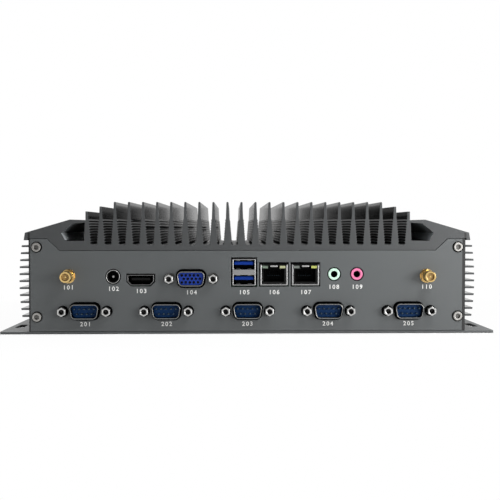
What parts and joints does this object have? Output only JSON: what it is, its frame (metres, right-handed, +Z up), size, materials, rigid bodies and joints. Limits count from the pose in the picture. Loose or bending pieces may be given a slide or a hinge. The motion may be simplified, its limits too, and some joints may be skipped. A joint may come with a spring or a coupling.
{
  "type": "fanless industrial pc",
  "caption": "Flat fanless industrial computer with a finned heatsink housing, a port panel and slotted mounting flanges.",
  "frame": {"origin": "middle of the underside of the base plate", "axes": "+Z up through the heatsink fins, +X right and -Y out of the port panel"},
  "size_m": [0.284, 0.1618, 0.0752],
  "materials": {
    "dark_anodised": "fine satin, dark gunmetal",
    "dark_paint": "fine matt powder coat, dark gunmetal",
    "bare_aluminium": "milled",
    "plated_steel": "bright tin and nickel plate",
    "screw_steel": "satin",
    "gold_plate": "gold plated",
    "dark_blue_plastic": "moulded",
    "blue_plastic": "moulded",
    "black_plastic": "moulded",
    "pale_green_plastic": "moulded",
    "pink_plastic": "moulded",
    "board_green": "solder mask",
    "lamp_green": "translucent",
    "lamp_white": "translucent",
    "package_grey": "moulded",
    "pad_grey": "soft",
    "cable_black": "extruded"
  },
  "bodies": {
    "housing": {"antenna_leads": "cable_black", "antenna_nuts": "gold_plate", "antenna_washers": "gold_plate", "base_plate": "dark_paint", "base_screws": "screw_steel", "board_link": "black_plastic", "board_screws": "screw_steel", "button_bezel": "plated_steel", "card_sockets": "black_plastic", "cell_holder": "black_plastic", "coin_cell": "plated_steel", "green_audio_jack": "pale_green_plastic", "heat_spreader": "bare_aluminium", "jackscrews": "screw_steel", "lan_lamps": "lamp_green", "lan_left_housing": "black_plastic", "lan_left_shell": "plated_steel", "lan_right_housing": "black_plastic", "lan_right_shell": "plated_steel", "left_antenna_connector": "gold_plate", "left_side_heatsink": "dark_anodised", "lower_standoffs": "screw_steel", "main_board": "board_green", "memory_module": "board_green", "memory_socket": "black_plastic", "monitor_port_insert": "blue_plastic", "monitor_port_shell": "plated_steel", "panel_screws": "screw_steel", "pink_audio_jack": "pink_plastic", "port_panel": "dark_paint", "power_jack": "black_plastic", "power_jack_pin": "plated_steel", "processor": "package_grey", "right_antenna_connector": "gold_plate", "right_side_heatsink": "dark_anodised", "serial_board": "board_green", "serial_pins": "gold_plate", "serial_port_1_insert": "dark_blue_plastic", "serial_port_1_shell": "plated_steel", "serial_port_2_insert": "dark_blue_plastic", "serial_port_2_shell": "plated_steel", "serial_port_3_insert": "dark_blue_plastic", "serial_port_3_shell": "plated_steel", "serial_port_4_insert": "dark_blue_plastic", "serial_port_4_shell": "plated_steel", "serial_port_5_insert": "dark_blue_plastic", "serial_port_5_shell": "plated_steel", "service_panel": "dark_paint", "solid_state_drive": "board_green", "spreader_screws": "screw_steel", "status_lamps": "lamp_white", "thermal_pad": "pad_grey", "top_heatsink": "dark_anodised", "upper_standoffs": "screw_steel", "usb_shell": "plated_steel", "usb_tongues": "blue_plastic", "video_shell": "plated_steel", "video_tongue": "black_plastic", "wireless_card": "board_green"},
    "power_button": {"power_button": "plated_steel"}
  },
  "joints": [
    {"name": "power_button_press", "type": "slide", "parent": "housing", "child": "power_button", "axis": [0, -1, 0], "range_m": [0, 0.0015], "stiffness_N_per_m": 1500, "springref_m": -0.0005}
  ]
}
